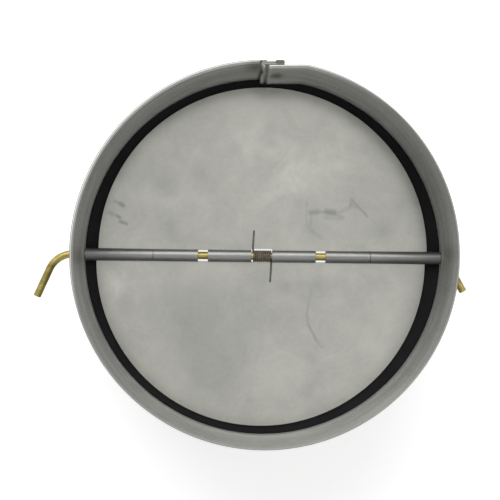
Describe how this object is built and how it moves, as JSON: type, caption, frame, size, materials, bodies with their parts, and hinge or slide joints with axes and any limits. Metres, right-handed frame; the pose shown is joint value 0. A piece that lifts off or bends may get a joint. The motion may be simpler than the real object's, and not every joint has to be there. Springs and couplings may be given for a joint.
{
  "type": "backdraft damper",
  "caption": "Round butterfly backdraft damper: a rolled collar with spring-closed half-disc flaps on a hinge rod that open one way for air and close on a foam gasket.",
  "frame": {"origin": "on the collar's axis, in the plane of its inlet rim, which it stands on", "axes": "+Z along the collar's axis, the way the air goes, out of the outlet; +X along the hinge rod, towards its tightly bent end; +Y towards the lock seam"},
  "size_m": [0.183, 0.152, 0.088],
  "materials": {
    "galvanised_sheet": "galvanised, dull satin",
    "flap_sheet": "mill finish, faintly smudged",
    "foam": "matte black foam",
    "yellow_rod": "yellow plated, satin",
    "spring_wire": "dark brown spring wire"
  },
  "bodies": {
    "collar": {"collar_sleeve": "galvanised_sheet", "gasket_ring": "foam", "closing_spring": "spring_wire"},
    "upper_flap": {"flap_upper": "flap_sheet"},
    "lower_flap": {"flap_lower": "flap_sheet"},
    "rod": {"hinge_rod": "yellow_rod"}
  },
  "joints": [
    {"name": "flap_upper_swing", "type": "hinge", "parent": "collar", "child": "upper_flap", "pos_m": [0, 0, 0.044], "axis": [1, 0, 0], "range_deg": [0, 85], "stiffness_Nm_per_rad": 0.026, "springref_deg": -20.05, "deforming": ["closing_spring"]},
    {"name": "flap_lower_swing", "type": "hinge", "parent": "collar", "child": "lower_flap", "pos_m": [0, 0, 0.044], "axis": [-1, 0, 0], "range_deg": [0, 85], "stiffness_Nm_per_rad": 0.026, "springref_deg": -20.05, "deforming": ["closing_spring"]},
    {"name": "hinge_rod_turn", "type": "hinge", "parent": "collar", "child": "rod", "pos_m": [0, 0, 0.044], "axis": [1, 0, 0], "continuous": true}
  ]
}
